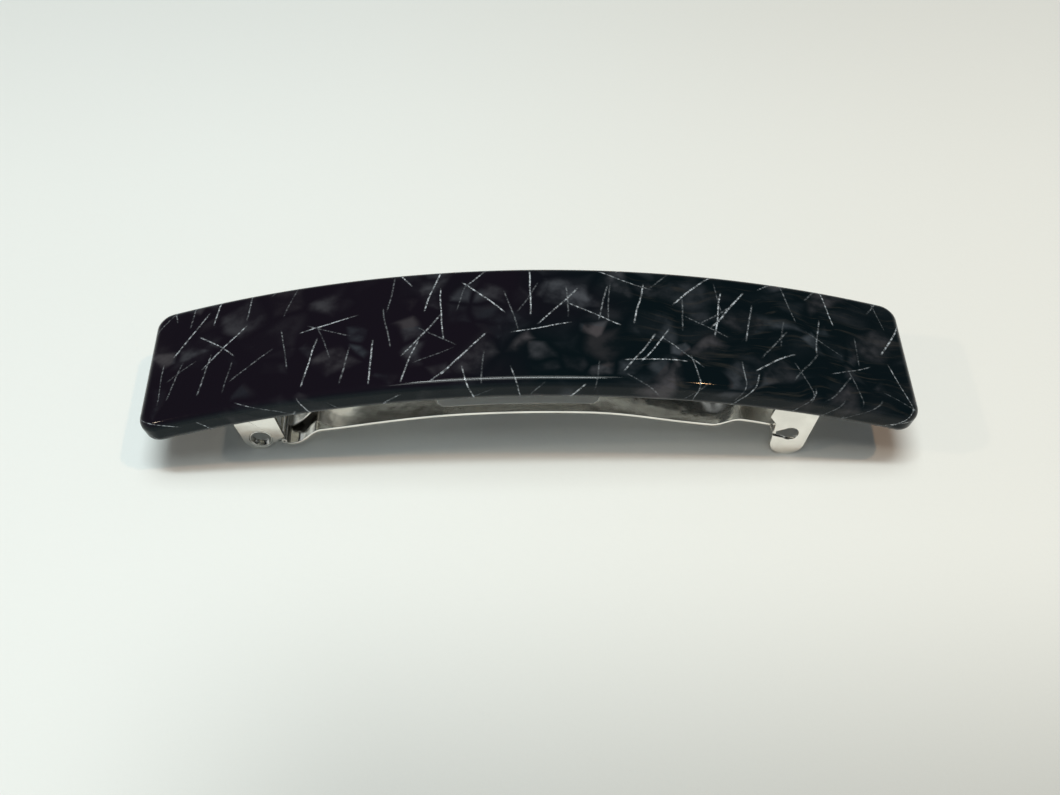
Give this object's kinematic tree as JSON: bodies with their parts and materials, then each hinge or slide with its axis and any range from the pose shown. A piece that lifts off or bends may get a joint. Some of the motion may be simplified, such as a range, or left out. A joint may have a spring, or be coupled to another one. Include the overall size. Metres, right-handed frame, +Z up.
{
  "type": "hair barrette",
  "caption": "Curved rectangular acetate plate bonded to a sprung metal clip: hinged slotted arm, two snap lugs and a bowed tension spring.",
  "frame": {"origin": "on the table under the middle of the plate, at the height of the ear and lug tips that the barrette stands on", "axes": "+X along the plate from the hinge to the clasp, +Y across the plate, +Z up out of the worn side"},
  "size_m": [0.1002, 0.0208, 0.0191],
  "materials": {
    "acetate": "polished near-black cellulose acetate with smoky grey chips and fine silver threads set in it",
    "adhesive": "cured clear epoxy, slightly yellow",
    "plated_steel": "bright nickel plate on stamped steel",
    "spring_steel": "nickel-plated spring steel"
  },
  "bodies": {
    "clip_body": {"acetate_plate": "acetate", "adhesive_pad_hinge": "adhesive", "adhesive_pad_clasp": "adhesive", "base_bar": "plated_steel"},
    "arm": {"swing_arm": "plated_steel"},
    "spring": {"tension_spring": "spring_steel"},
    "front_lug": {"clasp_lug_front": "plated_steel"},
    "back_lug": {"clasp_lug_back": "plated_steel"}
  },
  "joints": [
    {"name": "arm_swing", "type": "hinge", "parent": "clip_body", "child": "arm", "pos_m": [-0.03592, 0, 0.0021], "axis": [0, 1, 0], "range_deg": [0, 80]},
    {"name": "spring_lift", "type": "hinge", "parent": "clip_body", "child": "spring", "pos_m": [-0.03281, 0, 0.00183], "axis": [0, 1, 0], "range_deg": [0, 4], "stiffness_Nm_per_rad": 0.02, "springref_deg": -1.15},
    {"name": "front_lug_flex", "type": "hinge", "parent": "clip_body", "child": "front_lug", "pos_m": [0.03557, -0.00645, 0.01083], "axis": [0.9729, 0, -0.2311], "range_deg": [-6, 0], "stiffness_Nm_per_rad": 0.05},
    {"name": "back_lug_flex", "type": "hinge", "parent": "clip_body", "child": "back_lug", "pos_m": [0.03557, 0.00645, 0.01083], "axis": [0.9729, 0, -0.2311], "range_deg": [0, 6], "stiffness_Nm_per_rad": 0.05}
  ]
}
